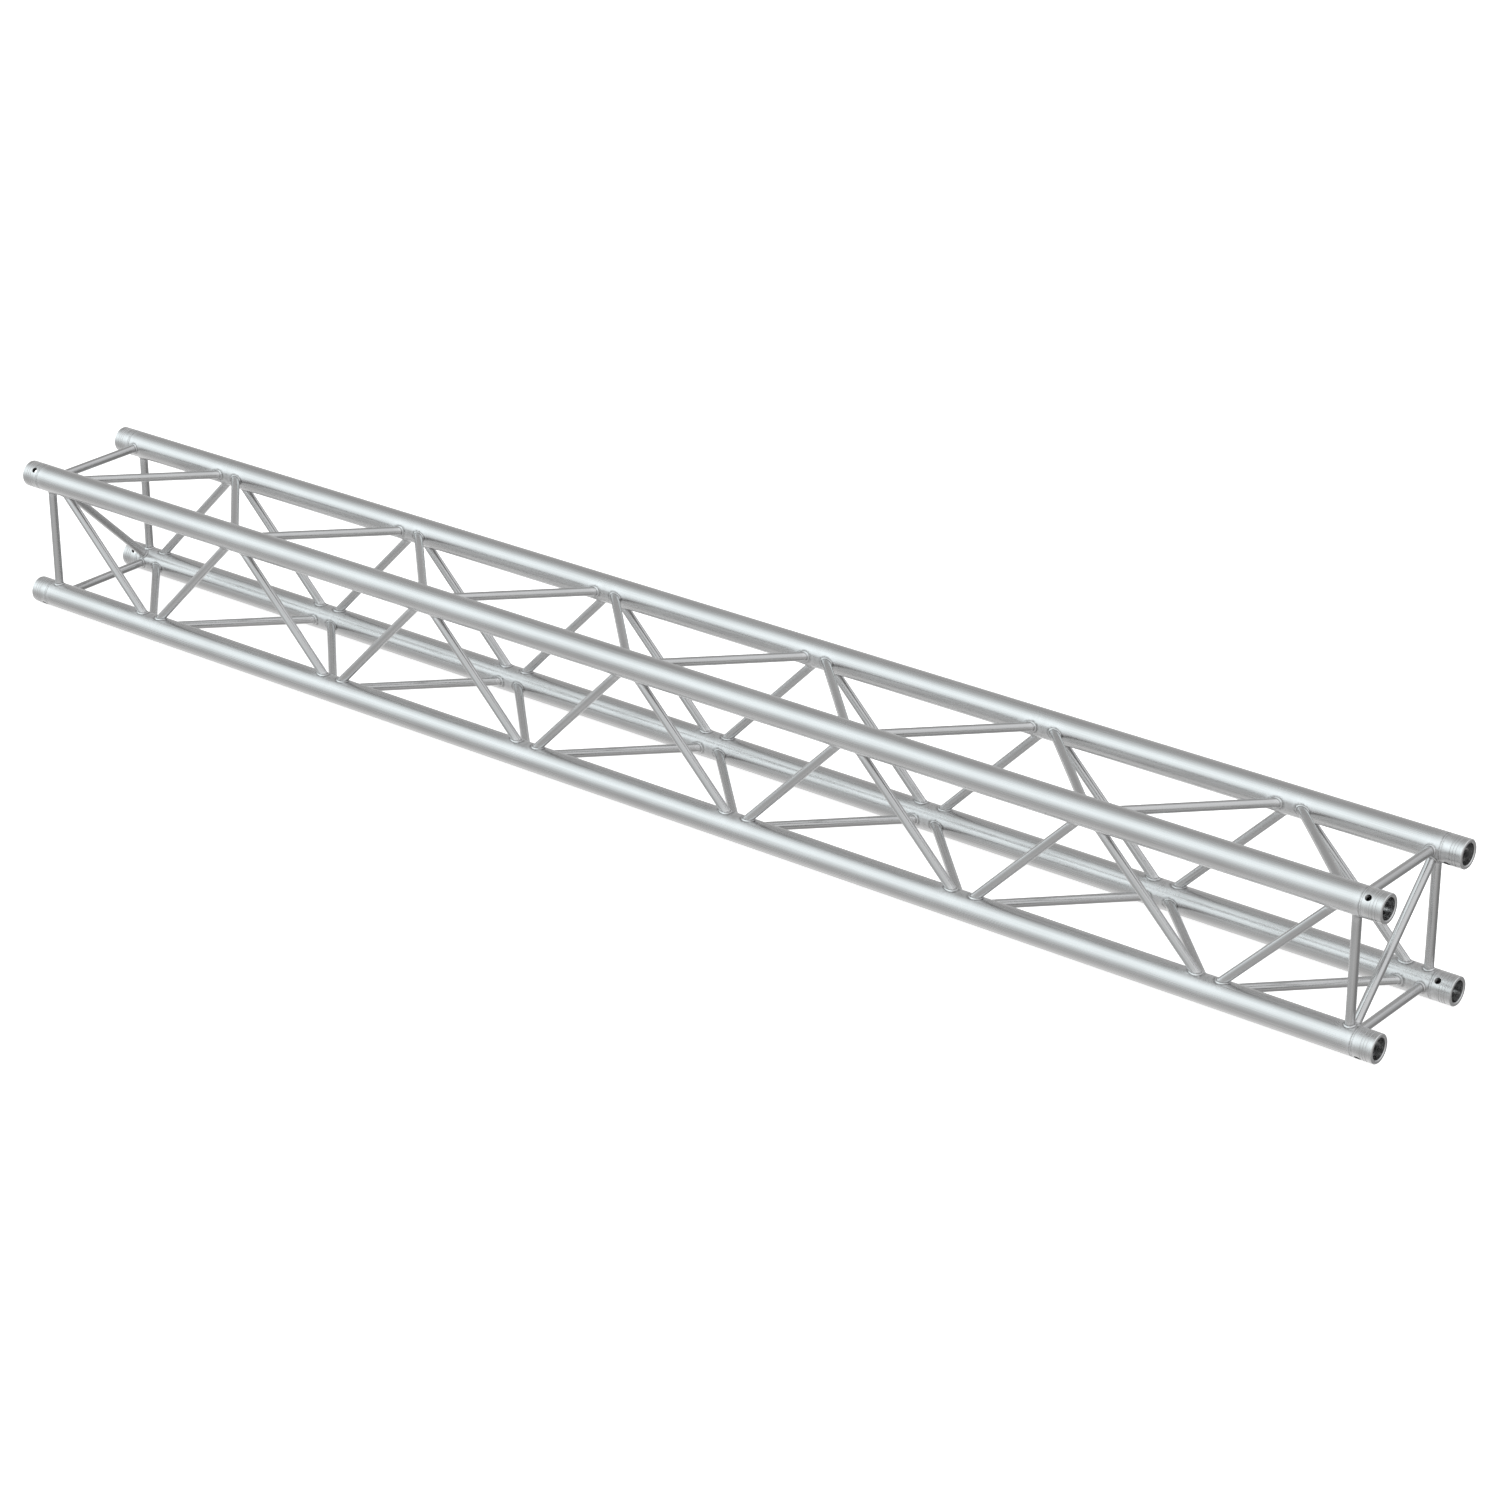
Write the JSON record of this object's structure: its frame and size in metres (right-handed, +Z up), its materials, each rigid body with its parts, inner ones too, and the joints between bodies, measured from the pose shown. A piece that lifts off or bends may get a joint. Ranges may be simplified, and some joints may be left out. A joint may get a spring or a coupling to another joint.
{
  "type": "lighting truss section",
  "caption": "Straight square box truss section of welded aluminium tube, with zig-zag bracing on every face and conical pin-lock receivers at both ends.",
  "frame": {"origin": "centre of the section, midway between the end faces and midway between the four chords", "axes": "+X along the truss to its right-hand end, +Y to the rear face, +Z up; the chords lie at Y and Z of plus and minus 120 mm"},
  "size_m": [3, 0.29, 0.29],
  "materials": {
    "chord_tube": "mill-finish extruded tube, satin, with fine drawing lines along its length",
    "brace_tube": "mill-finish drawn tube, satin, slightly darker than the chords",
    "turned_receiver": "turned, bright satin with fine tool rings",
    "weld_metal": "rippled welding bead, bright, with a dull heat mark beside it"
  },
  "bodies": {
    "root": {"front_top_chord": "chord_tube", "rear_top_chord": "chord_tube", "rear_bottom_chord": "chord_tube", "front_bottom_chord": "chord_tube", "front_top_receiver_left": "turned_receiver", "front_top_receiver_right": "turned_receiver", "rear_top_receiver_left": "turned_receiver", "rear_top_receiver_right": "turned_receiver", "rear_bottom_receiver_left": "turned_receiver", "rear_bottom_receiver_right": "turned_receiver", "front_bottom_receiver_left": "turned_receiver", "front_bottom_receiver_right": "turned_receiver", "front_lattice_bay_1": "brace_tube", "front_lattice_bay_2": "brace_tube", "front_lattice_bay_3": "brace_tube", "front_lattice_bay_4": "brace_tube", "front_lattice_bay_5": "brace_tube", "front_lattice_bay_6": "brace_tube", "top_lattice_bay_1": "brace_tube", "top_lattice_bay_2": "brace_tube", "top_lattice_bay_3": "brace_tube", "top_lattice_bay_4": "brace_tube", "top_lattice_bay_5": "brace_tube", "top_lattice_bay_6": "brace_tube", "rear_lattice_bay_1": "brace_tube", "rear_lattice_bay_2": "brace_tube", "rear_lattice_bay_3": "brace_tube", "rear_lattice_bay_4": "brace_tube", "rear_lattice_bay_5": "brace_tube", "rear_lattice_bay_6": "brace_tube", "bottom_lattice_bay_1": "brace_tube", "bottom_lattice_bay_2": "brace_tube", "bottom_lattice_bay_3": "brace_tube", "bottom_lattice_bay_4": "brace_tube", "bottom_lattice_bay_5": "brace_tube", "bottom_lattice_bay_6": "brace_tube", "left_front_post": "brace_tube", "left_top_crossbar": "brace_tube", "left_rear_post": "brace_tube", "left_bottom_crossbar": "brace_tube", "right_front_post": "brace_tube", "right_top_crossbar": "brace_tube", "right_rear_post": "brace_tube", "right_bottom_crossbar": "brace_tube", "left_end_diagonal": "brace_tube", "right_end_diagonal": "brace_tube", "front_top_brace_welds": "weld_metal", "rear_top_brace_welds": "weld_metal", "rear_bottom_brace_welds": "weld_metal", "front_bottom_brace_welds": "weld_metal", "front_top_receiver_welds": "weld_metal", "rear_top_receiver_welds": "weld_metal", "rear_bottom_receiver_welds": "weld_metal", "front_bottom_receiver_welds": "weld_metal"}
  },
  "joints": []
}
